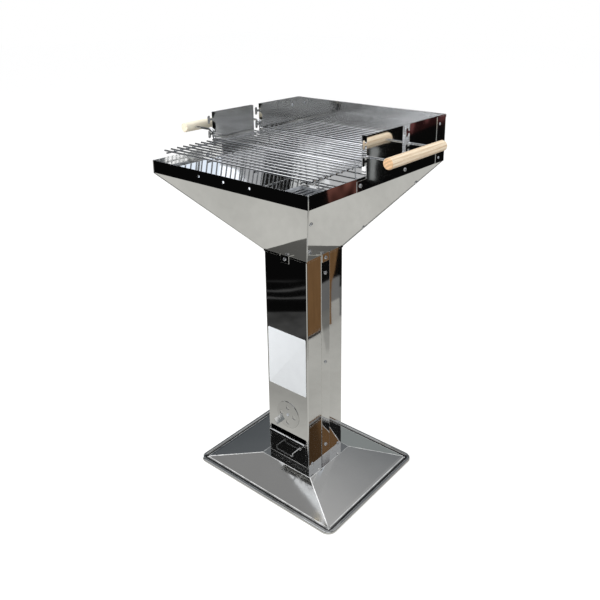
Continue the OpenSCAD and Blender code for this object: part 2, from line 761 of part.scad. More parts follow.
// rear sheet: returns over the side sheets, hem folded back along the top
module windshield_rear() {
  w = 2 * (shield_x + 2 * sheet);
  y = bowl_d / 2;
  r = 1.5 * sheet;
  color(steel) difference() {
    union() {
      translate([-w / 2, y, 0]) rotate([90, 0, 90]) linear_extrude(w)
        polygon(strip(concat([[0, band_z]], arc([r, shield_top - r], r, 180, 0, 8), [[2 * r, shield_top - hem_h]]), -sheet));
      for (s = [0, 1]) mirror([s, 0, 0]) translate([shield_x + sheet, y - return_w, band_z])
        cube([sheet, return_w + sheet, shield_h + band_h - 2 * r]);
    }
    shield_rear_places() bolt_hole(6);
    rivet_places() bolt_hole(6);
  }
}
module windshield_bolts() color(zinc) {
  shield_side_places() bolt(2 * sheet + bolt_end);
  shield_rear_places() bolt(2 * sheet + bolt_end);
}
module windshield_nuts() color(zinc) {
  shield_side_places() translate([0, 0, -2 * sheet]) nut();
  shield_rear_places() translate([0, 0, -2 * sheet]) nut();
}
// rivets join the rear sheet's returns to the sides; the lower pair goes through the band too
module rivet_places() {
  for (s = [0, 1], z = [shield_top - rivet_drop, side_bolt_z]) mirror([s, 0, 0])
    translate([shield_x + 2 * sheet, bowl_d / 2 - rivet_in, z]) rotate([0, 90, 0]) children();
}
module rivet(l) {
  cylinder(h = 1.4, d1 = head_d * 0.8, d2 = head_d * 0.45);
  translate([0, 0, -l]) cylinder(h = l, d = bolt_d * 0.8);
  translate([0, 0, -l - 1.4]) cylinder(h = 1.4, d1 = head_d * 0.45, d2 = head_d * 0.8);
}
module windshield_rivets() color(zinc)
  for (s = [0, 1], k = [0, 1]) mirror([s, 0, 0])
    translate([shield_x + 2 * sheet, bowl_d / 2 - rivet_in, k == 0 ? shield_top - rivet_drop : side_bolt_z])
      rotate([0, 90, 0]) rivet((2 + k) * sheet);

// ---- grill grate

module grate_rods() color(chrome)
  for (i = [0:rod_n - 1]) translate([-rod_l / 2, rod_y0 + i * rod_pitch, rod_z]) rotate([0, 90, 0])
    cylinder(h = rod_l, d = rod_d);
module grate_cross_wires() {
  y0 = rod_y0 - rod_pitch / 4;
  l = (rod_n - 1) * rod_pitch + rod_pitch / 2;
  color(chrome) for (k = [-1.5:1.5]) translate([k * cross_w / 3, y0, cross_z]) rotate([-90, 0, 0])
    cylinder(h = l, d = rod_d);
}
// wire along x on the cross wires, up inside the windshield and out over the hooks
module carrier(y) {
  x0 = wire_x;
  out = grip_x - grip_d / 2 + grip_set;
  color(chrome) translate([0, y, 0]) {
    translate([-x0 + low_r, 0, low_z]) rotate([0, 90, 0]) cylinder(h = 2 * (x0 - low_r), d = wire_d);
    for (s = [0, 1]) mirror([s, 0, 0]) {
      translate([x0 - low_r, 0, low_z + low_r]) rotate([-90, 0, 0])
        rotate_extrude(angle = 90) translate([low_r, 0]) circle(d = wire_d);
      translate([x0, 0, low_z + low_r]) cylinder(h = wire_step, d = wire_d);
      translate([x0 + wire_r, 0, carrier_z - wire_r]) rotate([90, 0, 180])
        rotate_extrude(angle = 90) translate([wire_r, 0]) circle(d = wire_d);
      translate([x0 + wire_r, 0, carrier_z]) rotate([0, 90, 0]) cylinder(h = out - x0 - wire_r, d = wire_d);
    }
  }
}
module grate_carrier_front() carrier(carrier_f);
module grate_carrier_rear() carrier(carrier_r);
module grip() {
  color(beech) difference() {
    translate([grip_x, grip_y, carrier_z]) rotate([-90, 0, 0]) {
      e = grip_edge;
      translate([0, 0, -grip_l / 2 + e]) cylinder(h = grip_l - 2 * e, d = grip_d);
      translate([0, 0, -grip_l / 2]) cylinder(h = e, d1 = grip_d - 2 * e, d2 = grip_d);
      translate([0, 0, grip_l / 2 - e]) cylinder(h = e, d1 = grip_d, d2 = grip_d - 2 * e);
    }
    for (y = [carrier_f, carrier_r]) translate([0, y, carrier_z]) rotate([0, 90, 0])
      cylinder(h = grip_x - grip_d / 2 + grip_set + 0.5, d = wire_d + 2 * grip_fit);
  }
}
module handle_right() grip();
module handle_left() mirror([1, 0, 0]) grip();

base_plate();
foot_angles();
column_front_shell();
column_rear_shell();
lap_bolts();
lap_nuts();
foot_bolts();
foot_nuts();
ash_drawer_box();
ash_drawer_front();
ash_drawer_handle();
vent_disc();
vent_rivet();
funnel_front();
funnel_rear();
funnel_left();
funnel_right();
funnel_corner_strips();
funnel_corner_bolts();
funnel_corner_nuts();
throat_bolts();
throat_nuts();
charcoal_grate();
windshield_left();
windshield_right();
windshield_rear();
windshield_bolts();
windshield_nuts();
windshield_rivets();
grate_rods();
grate_cross_wires();
grate_carrier_front();
grate_carrier_rear();
handle_left();
handle_right();
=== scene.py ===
"""Looks of the pillar barbecue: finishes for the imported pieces, the screws, nuts, welds and
label plate that they lack, and a plain pale studio. Metres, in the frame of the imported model."""

import math

import numpy as np

import bmesh
import bpy
from bpy.props import FloatProperty, FloatVectorProperty, PointerProperty
from mathutils import Matrix, Vector


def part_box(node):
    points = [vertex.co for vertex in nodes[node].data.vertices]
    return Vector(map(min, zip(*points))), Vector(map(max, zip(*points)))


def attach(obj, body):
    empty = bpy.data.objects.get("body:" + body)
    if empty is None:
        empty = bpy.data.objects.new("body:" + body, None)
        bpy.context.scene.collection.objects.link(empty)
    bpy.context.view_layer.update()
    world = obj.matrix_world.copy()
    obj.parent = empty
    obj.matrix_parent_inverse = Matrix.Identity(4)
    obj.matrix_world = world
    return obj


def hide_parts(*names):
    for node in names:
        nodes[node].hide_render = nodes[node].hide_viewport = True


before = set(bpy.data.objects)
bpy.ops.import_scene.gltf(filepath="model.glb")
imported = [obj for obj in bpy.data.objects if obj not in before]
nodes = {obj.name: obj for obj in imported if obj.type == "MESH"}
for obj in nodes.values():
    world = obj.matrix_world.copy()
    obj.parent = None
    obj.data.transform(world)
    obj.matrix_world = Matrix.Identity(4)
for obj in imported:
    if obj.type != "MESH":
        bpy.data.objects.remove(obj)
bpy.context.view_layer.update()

bl_info = {
    "name": "Pillar Barbecue Looks",
    "version": (1, 0, 0),
    "blender": (4, 5, 0),
    "location": "3D View > Sidebar > Barbecue",
    "description": "Finishes, fasteners, label plate and studio of the pillar barbecue",
    "category": "Object",
}

# thickness of the sheets, and half the width of the column's lap
SHEET = 0.001
LAP_HALF = 0.0165

# the base plate's pressing: half its raised flat, and half the part inside the soft rolled rim
FLAT_X, FLAT_Y = 0.086, 0.085
INSIDE_X, INSIDE_Y = 0.210, 0.165
# how far in from its outline the slopes end, the groove runs and the painted highlight along the
# groove's edge runs
SLOPE_END = 0.016
GROOVE = 0.0128
GROOVE_EDGE = 0.0178

# sheets that differ: share of the roughness, share of the waves, softness of the edges in metres
PLAIN_LOOK = (1.0, 1.0, 0.0006)
FUNNEL_LOOK = (1.0, 1.0, 0.0004)
SHEET_LOOK = {
    "base_plate": (2.8, 1.5, 0.0022),
    "funnel_front": FUNNEL_LOOK, "funnel_right": FUNNEL_LOOK,
    "funnel_left": FUNNEL_LOOK, "funnel_rear": FUNNEL_LOOK,
    "windshield_left": (3.2, 1.2, 0.0008), "windshield_rear": (3.2, 1.2, 0.0008),
    "windshield_right": (1.6, 1.2, 0.0008),
}

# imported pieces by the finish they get
STEEL_PIECES = (
    "base_plate", "column_front_shell", "column_rear_shell", "funnel_front", "funnel_rear",
    "funnel_left", "funnel_right", "funnel_corner_strips", "windshield_left",
    "windshield_right", "windshield_rear", "ash_drawer_box", "ash_drawer_front", "vent_disc",
)
WIRE_PIECES = ("grate_rods", "grate_cross_wires", "grate_carrier_front", "grate_carrier_rear")
ZINC_PIECES = (
    "foot_angles", "lap_bolts", "lap_nuts", "foot_bolts", "foot_nuts", "vent_rivet",
    "funnel_corner_bolts", "funnel_corner_nuts", "throat_bolts", "throat_nuts",
    "windshield_bolts", "windshield_nuts", "windshield_rivets",
)

# packed screws with the length under their head, and packed nuts with the screws they hold
SCREWS = {
    "lap_bolts": 0.0068, "foot_bolts": 0.0073, "funnel_corner_bolts": 0.0068,
    "throat_bolts": 0.0068, "windshield_bolts": 0.0068,
}
NUTS = {
    "lap_nuts": "lap_bolts", "foot_nuts": "foot_bolts", "funnel_corner_nuts": "funnel_corner_bolts",
    "throat_nuts": "throat_bolts", "windshield_nuts": "windshield_bolts",
}

# screw head: height of its straight edge, then the dome's rings as insets by shares of the
# radius and rises by shares of the height
HEAD_EDGE = 0.35
HEAD_RINGS = ((0.09, 0.30), (0.14, 0.20), (0.20, 0.12), (0.24, 0.03))
# cross recess: length and width by the head's diameter, depth by its height, taper to the bottom
RECESS = (0.52, 0.11, 1.1)
RECESS_TAPER = 0.45
# thread: pitch, root by the outer radius, and how far the shank reaches into the head
PITCH = 0.0008
ROOT = 0.88
INTO_HEAD = 0.0004
# nut: width across flats, height, bore, and how far its chamfer's cone widens by the height
NUT_ACROSS, NUT_HIGH, NUT_BORE = 0.008, 0.0036, 0.0051
NUT_CHAMFER = 1.6
# welds of the grate: height by the width, then the upper half's width and length
WELD_HIGH = 0.32
WELD_TOP = (0.75, 1.2, 1.0)
# radius of the label plate's corners, and length of the painted highlight at the end of the
# drawer's handle
LABEL_CORNER = 0.003
HANDLE_END = 0.012


# ---- settings


class Finishes(bpy.types.PropertyGroup):
    """Colours and gloss of the barbecue's materials."""

    steel: FloatVectorProperty(
        name="Steel", description="Colour of the polished sheet",
        subtype="COLOR", size=3, min=0, max=1, default=(0.80, 0.80, 0.79))
    steel_gloss: FloatProperty(
        name="Steel roughness", description="Roughness of the polished sheet",
        subtype="FACTOR", min=0, max=1, default=0.03)
    wave: FloatProperty(
        name="Waves", description="Height of the slow waves in the sheet",
        unit="LENGTH", min=0, max=0.002, precision=5, default=0.00025)
    lap_turn: FloatProperty(
        name="Lap turn", description="Slope of the column's lap against the wall",
        min=0, max=0.2, default=0.05)
    wire: FloatVectorProperty(
        name="Wire", description="Colour of the chromium plated wire",
        subtype="COLOR", size=3, min=0, max=1, default=(0.82, 0.83, 0.84))
    zinc: FloatVectorProperty(
        name="Zinc", description="Colour of the zinc plated fasteners",
        subtype="COLOR", size=3, min=0, max=1, default=(0.78, 0.82, 0.87))
    iron: FloatVectorProperty(
        name="Charcoal grate", description="Colour of the plain rolled steel",
        subtype="COLOR", size=3, min=0, max=1, default=(0.54, 0.57, 0.62))
    wood: FloatVectorProperty(
        name="Wood", description="Pale colour of the beech",
        subtype="COLOR", size=3, min=0, max=1, default=(0.98, 0.86, 0.67))
    # painted light: a paler tint that makes the left handle look more brightly lit than the right
    left_handle_painted_light: FloatVectorProperty(
        name="Pale wood", description="Tint of the paler left handle",
        subtype="COLOR", size=3, min=0, max=1, default=(1.0, 0.97, 0.82))
    wood_dark: FloatVectorProperty(
        name="Wood grain", description="Colour of the grain's dark lines",
        subtype="COLOR", size=3, min=0, max=1, default=(0.54, 0.33, 0.17))
    end_grain: FloatVectorProperty(
        name="End grain", description="Colour of the handles' ends",
        subtype="COLOR", size=3, min=0, max=1, default=(0.76, 0.50, 0.29))
    plate: FloatVectorProperty(
        name="Label plate", description="Colour of the bare label plate",
        subtype="COLOR", size=3, min=0, max=1, default=(0.80, 0.83, 0.86))


class Sizes(bpy.types.PropertyGroup):
    """Sizes of the pieces that are modelled here."""

    plate_width: FloatProperty(
        name="Label width", description="Width of the label plate",
        unit="LENGTH", default=0.128)
    plate_height: FloatProperty(
        name="Label height", description="Height of the label plate",
        unit="LENGTH", default=0.165)
    plate_middle: FloatProperty(
        name="Label place", description="Height of the label's middle",
        unit="LENGTH", default=0.341)
    plate_thick: FloatProperty(
        name="Label thickness", description="Thickness of the label plate",
        unit="LENGTH", precision=4, default=0.0003)
    head: FloatProperty(
        name="Screw head", description="Diameter of the screw heads",
        unit="LENGTH", precision=4, default=0.009)
    head_rise: FloatProperty(
        name="Head height", description="Height of the screw heads",
        unit="LENGTH", precision=4, default=0.0028)
    shank: FloatProperty(
        name="Screw shank", description="Diameter of the screws' threads",
        unit="LENGTH", precision=4, default=0.005)
    fold: FloatProperty(
        name="Fold", description="Radius of the folds along the funnel's corners",
        unit="LENGTH", precision=4, default=0.0016)
    band: FloatProperty(
        name="Band", description="Height of the funnel's upright band",
        unit="LENGTH", default=0.030)
    weld: FloatProperty(
        name="Weld", description="Width of the welds under the grate rods",
        unit="LENGTH", precision=4, default=0.0044)


class Studio(bpy.types.PropertyGroup):
    """Light and surroundings."""

    floor_tone: FloatVectorProperty(
        name="Floor in mirrors", description="Floor as the steel shows it",
        subtype="COLOR", size=3, min=0, max=1, default=(0.56, 0.555, 0.525))
    carton: FloatVectorProperty(
        name="Brown card", description="Card behind on the right",
        subtype="COLOR", size=3, min=0, max=1, default=(0.165, 0.090, 0.040))
    ceiling: FloatProperty(
        name="Ceiling", description="Brightness of the upper surroundings",
        min=0, max=4, default=0.26)
    strip: FloatProperty(
        name="Strip light", description="Brightness of the strip over the grate",
        min=0, max=20, default=1.9)
    key: FloatProperty(
        name="Key light", description="Power of the lamp on the right, by which the others go",
        unit="POWER", min=0, default=26)
    fill: FloatProperty(
        name="Ambient", description="Brightness of the light from all around",
        min=0, max=4, default=0.75)


# ---- shader maths


class Wire:
    """A socket in a material's nodes that can be used in sums."""

    def __init__(self, tree, socket):
        self.tree, self.socket = tree, socket

    def math(self, operation, *others):
        return worked_out(self.tree, operation, self, *others)

    def __add__(self, o): return self.math("ADD", o)
    def __radd__(self, o): return self.math("ADD", o)
    def __sub__(self, o): return self.math("SUBTRACT", o)
    def __rsub__(self, o): return worked_out(self.tree, "SUBTRACT", o, self)
    def __mul__(self, o): return self.math("MULTIPLY", o)
    def __rmul__(self, o): return self.math("MULTIPLY", o)
    def __truediv__(self, o): return self.math("DIVIDE", o)
    def __gt__(self, o): return self.math("GREATER_THAN", o)
    def __lt__(self, o): return self.math("LESS_THAN", o)
    def __abs__(self): return self.math("ABSOLUTE")
    def __pow__(self, o): return self.math("POWER", o)


def join(tree, socket, value):
    """Links a Wire to the socket, or sets a number or colour on it."""
    if isinstance(value, Wire):
        tree.links.new(value.socket, socket)
    elif isinstance(value, (tuple, list)) and len(value) == 3 and len(socket.default_value) == 4:
        socket.default_value = (*value, 1)
    else:
        socket.default_value = value


def worked_out(tree, operation, *terms):
    """The sum, product or other operation on those terms."""
    node = tree.nodes.new("ShaderNodeMath")
    node.operation = operation
    for socket, term in zip(node.inputs, terms):
        join(tree, socket, term)
    return Wire(tree, node.outputs[0])


class Recipe:
    """The node tree of one material or of the world."""

    def __init__(self, tree):
        self.tree = tree
        tree.nodes.clear()

    def node(self, kind, settings=None, sockets=None, out=0):
        """A node of that type with its settings and sockets; gives one of its outputs."""
        n = self.tree.nodes.new("ShaderNode" + kind)
        for k, v in (settings or {}).items():
            setattr(n, k, v)
        for k, v in (sockets or {}).items():
            join(self.tree, n.inputs[k], v)
        return Wire(self.tree, n.outputs[out])

    def place(self):
        """Place on the piece, in metres."""
        return self.node("TexCoord", out="Object")

    def split(self, vector):
        n = self.tree.nodes.new("ShaderNodeSeparateXYZ")
        join(self.tree, n.inputs[0], vector)
        return [Wire(self.tree, o) for o in n.outputs]

    def rays(self):
        """1 for rays from the camera, 1 for mirrored rays, and the number of mirrors met."""
        n = self.tree.nodes.new("ShaderNodeLightPath")
        names = ("Is Camera Ray", "Is Glossy Ray", "Glossy Depth")
        return [Wire(self.tree, n.outputs[name]) for name in names]

    def stretch(self, vector, scale=(1, 1, 1), turn=(0, 0, 0), move=(0, 0, 0)):
        return self.node("Mapping", None, {"Vector": vector, "Scale": scale, "Rotation": turn,
                                           "Location": move})

    def noise(self, vector, scale, detail=2, rough=0.5):
        return self.node("TexNoise", None, {"Vector": vector, "Scale": scale, "Detail": detail,
                                            "Roughness": rough})

    def mix(self, fac, a, b):
        return self.node("Mix", {"data_type": "RGBA"}, {0: fac, 6: a, 7: b}, out=2)

    def mix_vector(self, fac, a, b):
        return self.node("Mix", {"data_type": "VECTOR"}, {0: fac, 4: a, 5: b}, out=1)

    def mix_shader(self, fac, a, b):
        return self.node("MixShader", None, {0: fac, 1: a, 2: b})

    def range(self, value, a, b, c=0.0, d=1.0):
        """value carried from a..b to c..d, held at both ends."""
        return self.node("MapRange", None, {"Value": value, "From Min": a, "From Max": b,
                                            "To Min": c, "To Max": d})

    def dimmed(self, colour, share):
        return self.node("VectorMath", {"operation": "SCALE"}, {0: colour, "Scale": share})

    def glow(self, colour, strength=1.0):
        return self.node("Emission", None, {"Color": colour, "Strength": strength})

    def bump(self, height, distance, strength=1.0, normal=None):
        sockets = {"Height": height, "Distance": distance, "Strength": strength}
        if normal is not None:
            sockets["Normal"] = normal
        return self.node("Bump", None, sockets)

    def surface(self, sockets):
        """Ends the recipe in one principled surface."""
        self.finish(self.node("BsdfPrincipled", None, sockets))

    def finish(self, shader, kind="OutputMaterial"):
        out = self.tree.nodes.new("ShaderNode" + kind)
        self.tree.links.new(shader.socket, out.inputs["Surface"])


def toned(colour, share=1.0):
    """A colour from the settings, brighter or darker by that share."""
    return tuple(c * share for c in colour)


def material(name):
    mat = bpy.data.materials.new(name)
    mat.use_nodes = True
    return mat, Recipe(mat.node_tree)


def dress(obj, mat):
    """The piece's only material."""
    obj.data.materials.clear()
    obj.data.materials.append(mat)


def dress_node(name, mat):
    """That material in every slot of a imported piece."""
    obj = nodes[name]
    if not obj.material_slots:
        obj.data.materials.append(mat)
    for s in obj.material_slots:
        s.material = mat


# ---- materials


def painted_edge_highlights(r, at, wide, deep, into, outline):
    """1 where a white highlight is painted on the base plate: its hips, the flat's edge and the
    groove's edge.
    """
    run_x, run_y = outline.x - SLOPE_END - FLAT_X, outline.y - SLOPE_END - FLAT_Y
    across = abs((wide - FLAT_X) * run_y - (deep - FLAT_Y) * run_x) / math.hypot(run_x, run_y)
    hip = r.range(across, 0.0016, 0.0008) * (deep > FLAT_Y) * (into < -SLOPE_END)
    edge = abs((wide - FLAT_X).math("MAXIMUM", deep - FLAT_Y))
    edge_highlight = hip.math("MAXIMUM", r.range(edge, 0.0013, 0.0006) * 0.5)
    edge_highlight = edge_highlight.math("MAXIMUM", r.range(abs(into + GROOVE_EDGE), 0.0014, 0.0007) * 0.7)
    return edge_highlight * r.range(r.noise(at, 30.0, 2.0), 0.3, 0.6, 0.45, 1.0)


def polished_sheet(name, seed):
    """Mirror polished sheet: slow waves from bending, polishing marks, faint prints."""
    look = bpy.context.scene.grill_finishes
    mat, r = material(name + "_steel")
    at = r.place()
    x, y = r.split(at)[:2]
    moved = r.stretch(at, move=(seed * 0.37, seed * 0.19, seed * 0.53))
    slow = r.noise(moved, 5.0, 1.0, 0.4)
    dents = r.noise(moved, 14.0, 1.0, 0.4)
    marks = r.noise(r.stretch(moved, (60, 900, 900)), 1.0, 3.0, 0.6)
    prints = r.noise(moved, 9.0, 4.0, 0.65)
    # painted light and painted shade: the windshields are painted a little brighter and the vent
    # disc a little darker than the other sheets of the same steel
    painted_brightness = 1.06 if name.startswith("windshield") else 0.93 if name.startswith("vent") else 1.0
    steel = toned(look.steel, painted_brightness)
    colour = r.mix(r.range(prints, 0.35, 0.7), toned(steel, 0.97), steel)
    gloss, waves, soft = SHEET_LOOK.get(name, PLAIN_LOOK)
    metal = 1.0
    rough = look.steel_gloss * gloss
    normal = r.node("Bevel", {"samples": 6}, {"Radius": soft})
    if name == "base_plate":
        # only the hips and the flat's edge are soft and dull; the rolled rim has its own form
        wide, deep = abs(x), abs(y)
        inside = r.range(wide, INSIDE_X + 0.004, INSIDE_X)
        inside = inside * r.range(deep, INSIDE_Y + 0.004, INSIDE_Y)
        normal = r.mix_vector(inside, r.node("NewGeometry", out=1), normal)
        rough = look.steel_gloss * (1.2 + inside * (gloss - 1.2))
        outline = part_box("base_plate")[1]
        into = (wide - outline.x).math("MAXIMUM", deep - outline.y)
        # painted shade: the groove is painted dark, near black
        groove = r.range(abs(into + GROOVE), 0.0036, 0.0024)
        colour = r.mix(groove, colour, toned(look.steel, 0.16))
        # painted highlight: white, hardly metallic lines on the hips, the flat's edge and the
        # groove's edge
        edge_highlight = painted_edge_highlights(r, at, wide, deep, into, outline)
        colour = r.mix(edge_highlight, colour, (1.0, 1.0, 1.0))
        metal = 1.0 - edge_highlight * 0.9
    rough = rough + (r.range(marks, 0.45, 0.8) + r.range(prints, 0.5, 0.75)) * 0.03
    normal = r.bump(slow + dents * 0.25, look.wave * waves, normal=normal)
    if name.startswith("column"):
        # the lap lies a little turned from the wall
        strip = r.range(abs(y), LAP_HALF + 0.0004, LAP_HALF)
        slope = strip * (0.0 - y) * look.lap_turn * r.range(x, 0.05, 0.06)
        normal = r.bump(slope, 1.0, normal=normal)
    r.surface({"Base Color": colour, "Metallic": metal, "Roughness": rough, "Normal": normal})
    return mat


def chromed_wire(name="chrome_wire", shade=0.95, highlight_from=None):
    """Chromium plated wire, its colour scaled by shade as painted shade; beyond highlight_from
    along X a white painted highlight.
    """
    look = bpy.context.scene.grill_finishes
    mat, r = material(name)
    at = r.place()
    spots = r.noise(at, 400.0, 2.0, 0.5)
    chrome = toned(look.wire, shade)
    colour = r.mix(r.range(spots, 0.4, 0.75), chrome, toned(chrome, 0.9))
    if highlight_from is not None:
        # painted highlight: white from highlight_from on
        painted_highlight = r.range(r.split(at)[0], highlight_from, highlight_from + 0.003)
        colour = r.mix(painted_highlight, colour, (1.0, 1.0, 1.0))
    rough = 0.06 + r.range(spots, 0.4, 0.8) * 0.08
    r.surface({"Base Color": colour, "Metallic": 1.0, "Roughness": rough,
               "Normal": r.bump(r.noise(at, 700.0, 2.0), 0.00004, 0.5)})
    return mat


def zinc_plate():
    """Cloudy zinc plating."""
    look = bpy.context.scene.grill_finishes
    mat, r = material("zinc_steel")
    cloud = r.noise(r.place(), 260.0, 3.0, 0.6)
    colour = r.mix(r.range(cloud, 0.35, 0.7), toned(look.zinc), toned(look.zinc, 0.8))
    rough = 0.24 + r.range(cloud, 0.3, 0.7) * 0.16
    r.surface({"Base Color": colour, "Metallic": 0.55, "Roughness": rough,
               "Normal": r.bump(cloud, 0.00006, 0.6)})
    return mat


def rolled_iron():
    """Rolled steel with patches of mill scale."""
    look = bpy.context.scene.grill_finishes
    mat, r = material("dark_steel")
    at = r.place()
    scale = r.noise(at, 55.0, 5.0, 0.65)
    fine = r.noise(at, 900.0, 2.0)
    colour = r.mix(r.range(scale, 0.35, 0.7), toned(look.iron), toned(look.iron, 0.62))
    rough = 0.26 + r.range(scale, 0.3, 0.7) * 0.2
    r.surface({"Base Color": colour, "Metallic": 0.9, "Roughness": rough,
               "Normal": r.bump(fine, 0.0001, 0.5)})
    return mat


def beech(name, side):
    """Turned beech along Y: long grain, short flecks, rings on the ends; side is -1 or 1."""
    look = bpy.context.scene.grill_finishes
    low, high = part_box(name)
    mat, r = material(name + "_beech")
    at = r.place()
    y = r.split(at)[1]
    middle = (low + high) / 2
    # rings round a heart outside the rod
    heart = r.stretch(at, (1, 0.04, 1), move=(-middle.x - 0.021 * side, 0, -middle.z + 0.034))
    bend = r.noise(heart, 30.0, 2.0, 0.5)
    hx, _, hz = r.split(heart)
    ring = (hx * hx + hz * hz) ** 0.5 + (bend - 0.5) * 0.006
    bands = (ring * 900.0).math("SINE") * 0.5 + 0.5
    grain = r.noise(r.stretch(at, (620, 14, 620), move=(side, 0, 0)), 1.0, 4.0, 0.6)
    flecks = r.noise(r.stretch(at, (1500, 170, 1500)), 1.0, 1.0, 0.4)
    dark = r.range(bands, 0.2, 0.95) * 0.32 + r.range(grain, 0.42, 0.72) * 0.55
    dark = (dark + r.range(flecks, 0.62, 0.72) * 0.35).math("MINIMUM", 1.0)
    side_colour = r.mix(dark, toned(look.wood), toned(look.wood_dark))
    # the outer millimetre at both ends shows end grain
    ends = abs(y - middle.y) > (high.y - low.y) / 2 - 0.0012
    pores = r.range(r.noise(at, 500.0, 3.0, 0.7), 0.4, 0.7)
    end_dark = r.range(bands, 0.1, 0.9) * 0.5 + pores * 0.5
    end_colour = r.mix(end_dark, toned(look.end_grain, 1.25), toned(look.end_grain, 0.72))
    colour = r.mix(ends, side_colour, end_colour)
    # painted light: the left handle is mixed towards a paler tint to look more brightly lit
    if side < 0:
        colour = r.mix(0.7, colour, toned(look.left_handle_painted_light))
    height = grain * 0.5 + flecks * 0.5 + bands * 0.3
    r.surface({"Base Color": colour, "Roughness": 0.5 + r.range(grain, 0.3, 0.7) * 0.15,
               "Specular IOR Level": 0.4, "Normal": r.bump(height, 0.00012, 0.6)})
    return mat


def label_white():
    """Pale coated plate."""
    look = bpy.context.scene.grill_finishes
    mat, r = material("label_plate")
    at = r.place()
    cloud = r.noise(at, 35.0, 3.0, 0.6)
    colour = r.mix(r.range(cloud, 0.35, 0.7), toned(look.plate), toned(look.plate, 0.97))
    r.surface({"Base Color": colour, "Roughness": 0.32 + r.range(cloud, 0.3, 0.7) * 0.1,
               "Coat Weight": 0.3, "Normal": r.bump(r.noise(at, 60.0, 2.0), 0.0001, 0.4)})
    return mat


# ---- modelling helpers


def alone(obj=None):
    """Nothing selected, or only this object."""
    if bpy.context.object and bpy.context.object.mode != "OBJECT":
        bpy.ops.object.mode_set(mode="OBJECT")
    bpy.ops.object.select_all(action="DESELECT")
    if obj is not None:
        obj.select_set(True)
        bpy.context.view_layer.objects.active = obj


def pick(obj, test, kind="FACE"):
    """Selects the faces, edges or vertices for which test holds; leaves the piece in edit mode."""
    alone(obj)
    bpy.ops.object.mode_set(mode="EDIT")
    bpy.ops.mesh.select_mode(type=kind)
    bpy.ops.mesh.select_all(action="DESELECT")
    bm = bmesh.from_edit_mesh(obj.data)
    group = {"FACE": bm.faces, "EDGE": bm.edges, "VERT": bm.verts}[kind]
    for e in group:
        if test(e):
            e.select_set(True)
    bm.select_flush_mode()
    bmesh.update_edit_mesh(obj.data)


def close(obj):
    """Back to object mode with the place in the mesh."""
    alone(obj)
    bpy.ops.object.transform_apply(location=True, rotation=True, scale=True)
    return obj


def outward():
    """In edit mode: every face of the piece looks outwards."""
    bpy.ops.mesh.select_all(action="SELECT")
    bpy.ops.mesh.normals_make_consistent(inside=False)


def boolean(obj, tool, way):
    """Cuts or intersects the piece with the tool, which goes."""
    alone(obj)
    change = obj.modifiers.new("shape", "BOOLEAN")
    change.operation, change.object, change.solver = way, tool, "EXACT"
    bpy.ops.object.modifier_apply(modifier=change.name)
    bpy.data.objects.remove(tool)


def smoothed(obj, degrees):
    """Smooth shading up to that angle between two faces."""
    alone(obj)
    bpy.ops.object.shade_smooth_by_angle(angle=math.radians(degrees))


def copy_to(master, matrix, name="piece"):
    """A copy of the master, carried by the matrix."""
    new = bpy.data.objects.new(name, master.data.copy())
    bpy.context.scene.collection.objects.link(new)
    new.data.transform(matrix)
    return new


def joined(parts, name):
    """Those objects as one of that name."""
    alone()
    for p in parts:
        p.select_set(True)
    bpy.context.view_layer.objects.active = parts[0]
    if len(parts) > 1:
        bpy.ops.object.join()
    obj = parts[0]
    obj.name = obj.data.name = name
    return obj


def centre(corners):
    """Mean of a loose piece's corners."""
    return sum(corners, Vector()) / len(corners)


def islands(node):
    """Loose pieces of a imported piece, each as its list of corners."""
    bm = bmesh.new()
    bm.from_mesh(nodes[node].data)
    bmesh.ops.remove_doubles(bm, verts=bm.verts, dist=1e-6)
    left, found = set(bm.verts), []
    while left:
        stack, group = [left.pop()], []
        while stack:
            v = stack.pop()
            group.append(v.co.copy())
            for e in v.link_edges:
                o = e.other_vert(v)
                if o in left:
                    left.discard(o)
                    stack.append(o)
        found.append(group)
    bm.free()
    return sorted(found, key=lambda g: tuple(round(c, 4) for c in centre(g)))


def screw_axis(corners, width):
    """Middle of a screw, nut or rivet of that width across, and the line it is turned about."""
    middle = centre(corners)
    rays = [c - middle for c in corners]
    spread = [[sum(ray[i] * ray[j] for ray in rays) for j in range(3)] for i in range(3)]
    vectors = np.linalg.eigh(np.array(spread))[1]
    best = None
    for i in range(3):
        axis = Vector(vectors[:, i])
        reach = max(off_axis(ray, axis) for ray in rays)
        if best is None or abs(reach - width / 2) < abs(best[0] - width / 2):
            best = (reach, axis.copy())
    return middle, best[1]


def off_axis(ray, axis):
    """Distance of the ray's end from the axis."""
    return (ray - axis * ray.dot(axis)).length


def turned_to(axis, place, spin=0.0):
    """Carries a piece modelled along +Z to that place and direction."""
    tilt = Vector((0, 0, 1)).rotation_difference(axis).to_matrix().to_4x4()
    return Matrix.Translation(place) @ tilt @ Matrix.Rotation(spin, 4, "Z")


# ---- pieces


def screw_head():
    """Pan head with a cross recess; its underside at z = 0."""
    s = bpy.context.scene.grill_sizes
    top = s.head_rise * HEAD_EDGE
    alone()
    bpy.ops.mesh.primitive_cylinder_add(vertices=32, radius=s.head / 2, depth=top,
                                        location=(0, 0, top / 2))
    head = close(bpy.context.object)
    for inset, rise in HEAD_RINGS:
        pick(head, lambda f: f.normal.z > 0.9 and f.calc_center_median().z > top - 1e-5)
        bpy.ops.mesh.inset(thickness=s.head / 2 * inset)
        bpy.ops.transform.translate(value=(0, 0, s.head_rise * rise))
        top += s.head_rise * rise
    alone()
    arms = []
    for turn in (0, 90):
        bpy.ops.mesh.primitive_cube_add(size=1, location=(0, 0, s.head_rise))
        arm = bpy.context.object
        arm.scale = (s.head * RECESS[0], s.head * RECESS[1], s.head_rise * RECESS[2])
        arm.rotation_euler.z = math.radians(turn)
        close(arm)
        pick(arm, lambda f: f.normal.z < -0.9)
        bpy.ops.transform.resize(value=(RECESS_TAPER, RECESS_TAPER, 1))
        arms.append(close(arm))
    for arm in arms:
        boolean(head, arm, "DIFFERENCE")
    return head


